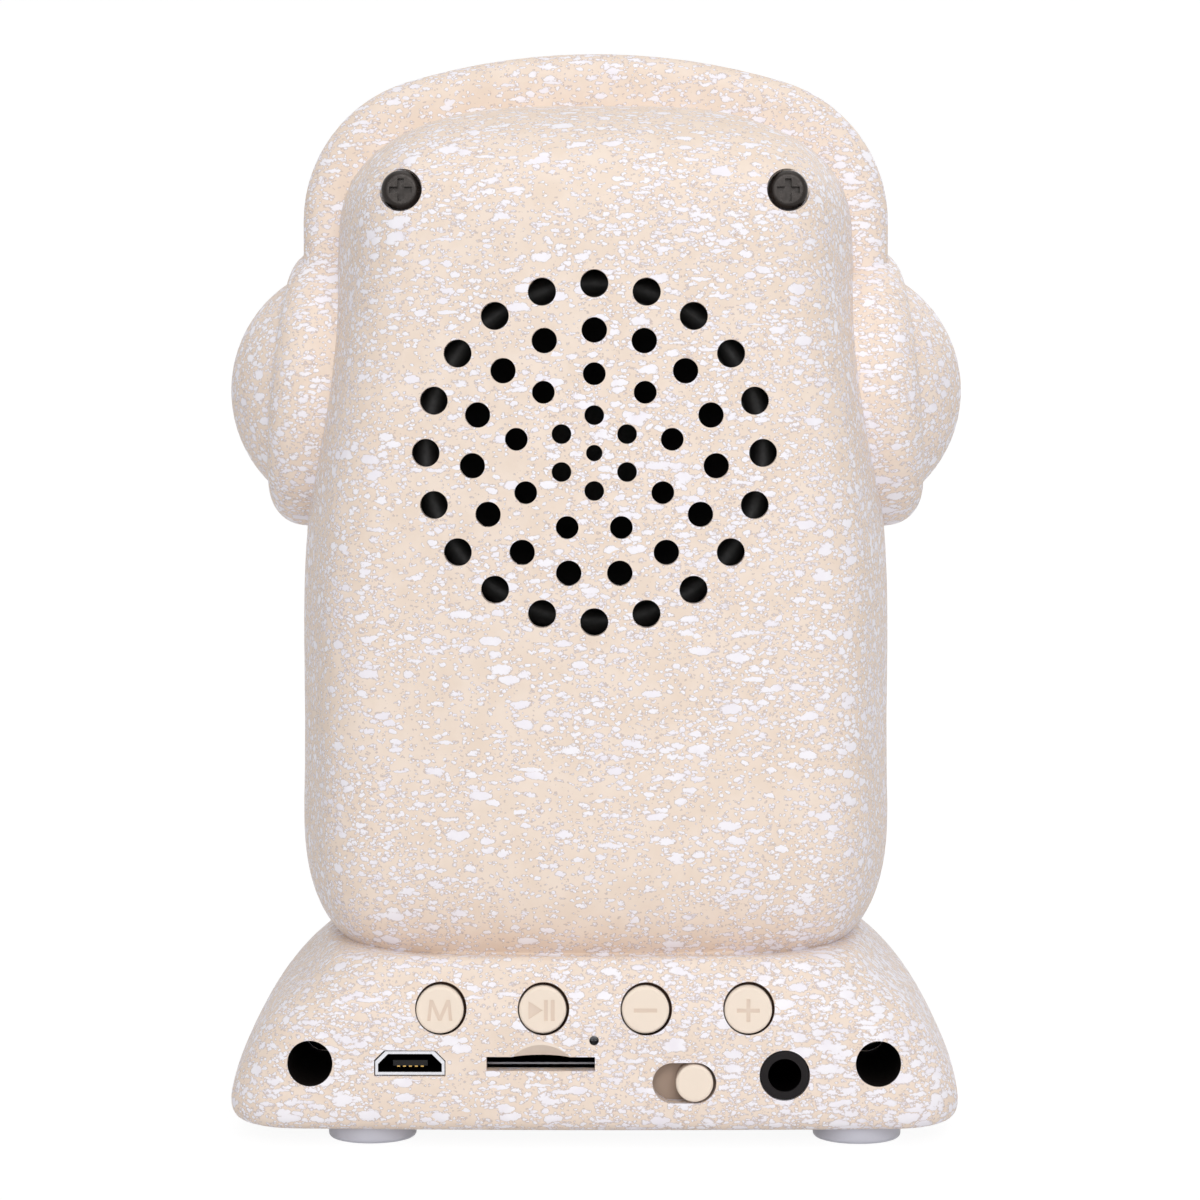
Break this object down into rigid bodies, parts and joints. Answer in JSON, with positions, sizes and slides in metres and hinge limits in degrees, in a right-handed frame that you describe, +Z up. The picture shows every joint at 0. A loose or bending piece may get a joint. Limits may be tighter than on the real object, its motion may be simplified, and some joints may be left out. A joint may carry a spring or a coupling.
{
  "type": "novelty bluetooth speaker",
  "caption": "Small desk speaker in the form of a stone-like head with headphones on a flared plinth, with a rear grille, buttons and ports.",
  "frame": {"origin": "centre of the overall box in plan, on the surface that the feet stand on", "axes": "+Z up, -Y towards the grille, buttons and ports, +Y towards the face, +X to the right seen from behind"},
  "size_m": [0.0864, 0.0731, 0.1224],
  "materials": {
    "speckled_shell": "matt cream paint with white speckle",
    "plain_cap": "matt, plain cream",
    "dark_screw": "black oxide",
    "zinc_screw": "zinc plated",
    "soft_foot": "soft, slightly clear",
    "white_plunger": "satin",
    "black_plastic": "satin",
    "stamped_steel": "bright, stamped",
    "gilt_contact": "gilt",
    "board_laminate": "solder mask",
    "chip_resin": "moulded resin",
    "ivory_plastic": "satin",
    "capsule_aluminium": "bright",
    "black_rubber": "matt",
    "black_steel": "black paint",
    "plated_steel": "zinc plated",
    "ferrite": "raw",
    "black_paper": "pressed paper",
    "coil_copper": "enamelled copper",
    "amber_cloth": "treated cloth",
    "brown_board": "pressed board",
    "lead_sleeve": "smooth sleeve",
    "battery_foil": "foil",
    "grey_foam": "foam"
  },
  "bodies": {
    "housing": {"amplifier_chip": "chip_resin", "audio_jack_body": "black_plastic", "audio_jack_contacts": "gilt_contact", "base_case_screws": "dark_screw", "battery_cell": "battery_foil", "battery_leads": "lead_sleeve", "battery_pad": "grey_foam", "battery_plug": "ivory_plastic", "battery_socket": "ivory_plastic", "bluetooth_chip": "chip_resin", "card_socket_base": "black_plastic", "card_socket_shell": "stamped_steel", "driver_basket": "black_steel", "driver_gasket": "black_rubber", "driver_screws": "zinc_screw", "front_shell": "speckled_shell", "magnet": "ferrite", "main_board": "board_laminate", "microphone": "capsule_aluminium", "microphone_boot": "black_rubber", "power_switch_case": "stamped_steel", "rear_shell": "speckled_shell", "rubber_feet": "soft_foot", "small_parts": "chip_resin", "speaker_leads": "lead_sleeve", "spider": "amber_cloth", "tact_switch_bodies": "black_plastic", "terminal_board": "brown_board", "top_plate": "plated_steel", "upper_case_screws": "dark_screw", "usb_contacts": "gilt_contact", "usb_shell": "stamped_steel", "usb_tongue": "black_plastic", "yoke": "plated_steel"},
    "mode_button_set": {"mode_button": "plain_cap", "mode_plunger": "white_plunger"},
    "play_button_set": {"play_button": "plain_cap", "play_plunger": "white_plunger"},
    "volume_down_button_set": {"volume_down_button": "plain_cap", "volume_down_plunger": "white_plunger"},
    "volume_up_button_set": {"volume_up_button": "plain_cap", "volume_up_plunger": "white_plunger"},
    "power_slide_set": {"power_knob": "plain_cap", "power_switch_lever": "black_plastic"},
    "diaphragm": {"driver_cone": "black_paper", "dust_cap": "black_paper", "driver_surround": "black_rubber", "voice_coil": "coil_copper"}
  },
  "joints": [
    {"name": "mode_press", "type": "slide", "parent": "housing", "child": "mode_button_set", "axis": [0, 1, 0], "range_m": [0, 0.00035], "stiffness_N_per_m": 3000},
    {"name": "play_press", "type": "slide", "parent": "housing", "child": "play_button_set", "axis": [0, 1, 0], "range_m": [0, 0.00035], "stiffness_N_per_m": 3000},
    {"name": "volume_down_press", "type": "slide", "parent": "housing", "child": "volume_down_button_set", "axis": [0, 1, 0], "range_m": [0, 0.00035], "stiffness_N_per_m": 3000},
    {"name": "volume_up_press", "type": "slide", "parent": "housing", "child": "volume_up_button_set", "axis": [0, 1, 0], "range_m": [0, 0.00035], "stiffness_N_per_m": 3000},
    {"name": "power_slide", "type": "slide", "parent": "housing", "child": "power_slide_set", "axis": [1, 0, 0], "range_m": [-0.0023, 0]},
    {"name": "diaphragm_travel", "type": "slide", "parent": "housing", "child": "diaphragm", "axis": [0, 1, 0], "range_m": [-0.0008, 0.0008], "stiffness_N_per_m": 1800}
  ]
}
